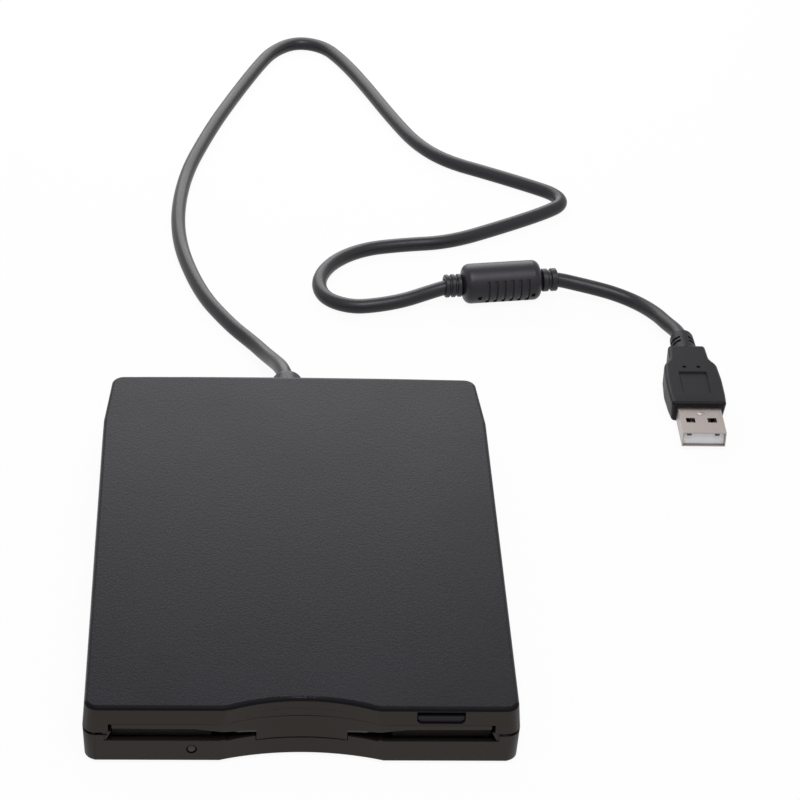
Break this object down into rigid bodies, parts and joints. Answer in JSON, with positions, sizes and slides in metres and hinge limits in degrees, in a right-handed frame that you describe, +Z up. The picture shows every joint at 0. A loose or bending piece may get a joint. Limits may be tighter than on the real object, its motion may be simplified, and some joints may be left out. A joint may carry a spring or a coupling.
{
  "type": "external floppy disk drive",
  "caption": "Slim desktop disk drive in a flat black case with a sprung slot flap, an eject button and a captive cord with a ferrite sleeve and a flat plug.",
  "frame": {"origin": "on the table, under the middle of the case, cord left out", "axes": "+Z up, +Y from the disk slot to the cord end, +X to the right when facing the slot from the front"},
  "size_m": [0.1718, 0.3761, 0.0163],
  "materials": {
    "case_black": "fine leather-like moulded texture",
    "front_black": "fine matt moulding",
    "button_black": "smooth satin moulding",
    "light_clear": "clear light pipe",
    "led_body": "moulded lamp body",
    "foot_rubber": "soft matt rubber",
    "black_screws": "black oxide",
    "plated_screws": "zinc plated",
    "pressed_steel": "zinc-plated pressed sheet",
    "ground_steel": "ground bar",
    "spring_steel": "bright wire",
    "bronze_bush": "sintered",
    "rotor_steel": "plated cup",
    "magnet": "bonded ferrite",
    "stator_steel": "laminated sheet",
    "copper_wire": "enamelled winding",
    "motor_can": "drawn can",
    "carriage_grey": "glass-filled moulding",
    "head_ceramic": "polished ceramic in plastic",
    "board_green": "solder mask",
    "chip_black": "moulded package",
    "switch_white": "moulded",
    "ribbon": "flat cable film",
    "wire_insulation": "thin insulation",
    "cable_black": "glossy jacket",
    "ferrite_black": "satin over-moulding",
    "plug_black": "satin over-moulding",
    "plug_steel": "nickel-plated sheet",
    "tongue_white": "moulded insulator",
    "contact_gold": "gold-plated strip"
  },
  "bodies": {
    "base": {"top_cover": "case_black", "bottom_cover": "front_black", "case_screws": "black_screws", "rubber_feet": "foot_rubber", "light_lens": "light_clear", "light_body": "led_body", "chassis": "pressed_steel", "chassis_screws": "plated_screws", "top_shield": "pressed_steel", "slider_springs": "spring_steel", "motor_plate": "pressed_steel", "motor_screws": "plated_screws", "shaft_bushes": "bronze_bush", "stator_core": "stator_steel", "stator_coils": "copper_wire", "guide_rod": "ground_steel", "stepper_motor": "motor_can", "position_sensors": "chip_black", "front_board": "board_green", "switch_bodies": "chip_black", "main_board": "board_green", "main_board_chips": "chip_black", "usb_board": "board_green", "usb_board_chips": "chip_black", "flat_cables": "ribbon", "cord_boot": "foot_rubber", "signal_wires": "wire_insulation", "usb_cable": "cable_black", "ferrite_housing": "ferrite_black", "ferrite_core": "magnet", "plug_grip": "plug_black", "plug_boot": "plug_black", "plug_shell": "plug_steel", "plug_tongue": "tongue_white", "plug_contacts": "contact_gold"},
    "flap": {"slot_flap": "front_black", "flap_pins": "ground_steel", "flap_spring": "spring_steel"},
    "slider": {"slider_plate": "pressed_steel", "eject_button": "button_black"},
    "holder": {"disk_holder": "pressed_steel", "holder_pins": "ground_steel", "lever_rivet": "ground_steel"},
    "lever": {"shutter_lever": "pressed_steel", "lever_spring": "spring_steel"},
    "spindle": {"rotor_cup": "rotor_steel", "rotor_magnet": "magnet", "spindle_hub": "rotor_steel", "spindle_shaft": "ground_steel", "drive_pin": "ground_steel"},
    "carriage": {"head_carriage": "carriage_grey", "lower_head": "head_ceramic", "arm_hinge_pin": "ground_steel"},
    "arm": {"upper_head_arm": "carriage_grey", "upper_head": "head_ceramic", "arm_spring": "spring_steel"},
    "screw": {"lead_screw": "ground_steel"},
    "protect_switch": {"write_protect_plunger": "switch_white"},
    "density_switch": {"density_plunger": "switch_white"},
    "disk_switch": {"disk_in_plunger": "switch_white"}
  },
  "joints": [
    {"name": "flap_hinge", "type": "hinge", "parent": "base", "child": "flap", "pos_m": [0, -0.0673, 0.0126], "axis": [1, 0, 0], "range_deg": [0, 85], "stiffness_Nm_per_rad": 0.0002, "springref_deg": -20.05},
    {"name": "eject_slide", "type": "slide", "parent": "base", "child": "slider", "axis": [0, 1, 0], "range_m": [-0.004, 0], "deforming": ["slider_springs"]},
    {"name": "holder_lift", "type": "slide", "parent": "base", "child": "holder", "axis": [0, 0, 1], "range_m": [-0.0017, 0]},
    {"name": "lever_pivot", "type": "hinge", "parent": "holder", "child": "lever", "pos_m": [-0.035, 0.002, 0.0117], "axis": [0, 0, 1], "range_deg": [0, 52], "stiffness_Nm_per_rad": 0.0002, "springref_deg": -11.46, "deforming": ["lever_spring"]},
    {"name": "spindle_spin", "type": "hinge", "parent": "base", "child": "spindle", "pos_m": [0, -0.0175, 0.0037], "axis": [0, 0, 1], "continuous": true},
    {"name": "head_travel", "type": "slide", "parent": "base", "child": "carriage", "axis": [0, 1, 0], "range_m": [-0.0148, 0]},
    {"name": "arm_lift", "type": "hinge", "parent": "carriage", "child": "arm", "pos_m": [0, 0.047, 0.0084], "axis": [1, 0, 0], "range_deg": [0, 10.05], "deforming": ["arm_spring"]},
    {"name": "screw_turn", "type": "hinge", "parent": "base", "child": "screw", "pos_m": [-0.009, 0.04, 0.0078], "axis": [0, 1, 0], "range_deg": [-1422, 0]},
    {"name": "protect_press", "type": "slide", "parent": "base", "child": "protect_switch", "axis": [0, 0, 1], "range_m": [-0.0014, 0], "stiffness_N_per_m": 150},
    {"name": "density_press", "type": "slide", "parent": "base", "child": "density_switch", "axis": [0, 0, 1], "range_m": [-0.0014, 0], "stiffness_N_per_m": 150},
    {"name": "disk_press", "type": "slide", "parent": "base", "child": "disk_switch", "axis": [0, 0, 1], "range_m": [-0.0014, 0], "stiffness_N_per_m": 150}
  ],
  "couplings": [
    {"joint": "holder_lift", "follows": "eject_slide", "ratio": 0.425},
    {"joint": "arm_lift", "follows": "eject_slide", "rad_per_m": -43.633},
    {"joint": "screw_turn", "follows": "head_travel", "rad_per_m": 1675.5}
  ]
}
